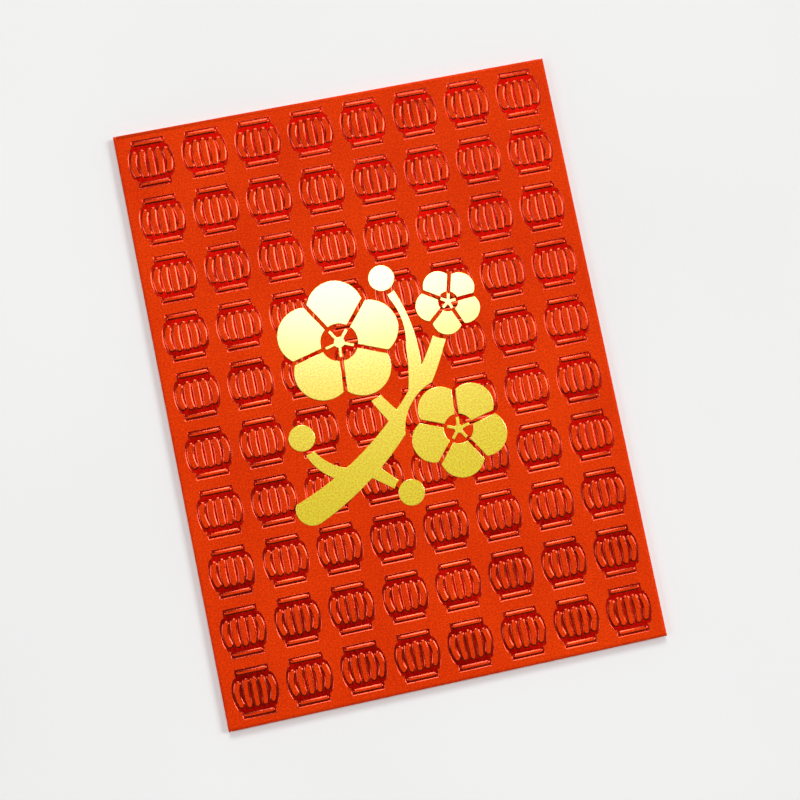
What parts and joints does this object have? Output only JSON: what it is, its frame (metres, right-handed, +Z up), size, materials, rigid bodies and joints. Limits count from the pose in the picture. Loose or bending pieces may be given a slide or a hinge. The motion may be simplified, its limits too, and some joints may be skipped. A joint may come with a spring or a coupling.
{
  "type": "red envelope",
  "caption": "Flat red paper gift packet with a hinged closure flap behind, glued back seams, a grid of red foil lanterns and a gold blossom spray.",
  "frame": {"origin": "middle of the footprint, on the surface that the packet lies on, face up", "axes": "+X across the packet to the right of its face, +Y up the face towards the closure crease, +Z up out of the face"},
  "size_m": [0.085, 0.115, 0.0018],
  "materials": {
    "red_paper": "matte, fine grain",
    "red_foil": "red metallic stamping foil",
    "gold_foil": "satin gold stamping foil",
    "glue_film": "dried paper glue",
    "gum_film": "dry remoistening gum"
  },
  "bodies": {
    "pocket": {"front_panel": "red_paper", "left_fold": "red_paper", "right_fold": "red_paper", "left_back_flap": "red_paper", "right_back_flap": "red_paper", "bottom_fold": "red_paper", "bottom_flap": "red_paper", "flap_crease": "red_paper", "lantern_foil_row_01": "red_foil", "lantern_foil_row_02": "red_foil", "lantern_foil_row_03": "red_foil", "lantern_foil_row_04": "red_foil", "lantern_foil_row_05": "red_foil", "lantern_foil_row_06": "red_foil", "lantern_foil_row_07": "red_foil", "lantern_foil_row_08": "red_foil", "lantern_foil_row_09": "red_foil", "lantern_foil_row_10": "red_foil", "gold_branch": "gold_foil", "gold_large_blossom": "gold_foil", "gold_middle_blossom": "gold_foil", "gold_small_blossom": "gold_foil", "gold_buds": "gold_foil", "seam_glue": "glue_film", "bottom_glue": "glue_film"},
    "flap": {"closure_flap": "red_paper", "closure_gum": "gum_film"}
  },
  "joints": [
    {"name": "flap_hinge", "type": "hinge", "parent": "pocket", "child": "flap", "pos_m": [0, 0.05668, 0.00082], "axis": [1, 0, 0], "range_deg": [0, 180], "deforming": ["flap_crease"]}
  ]
}
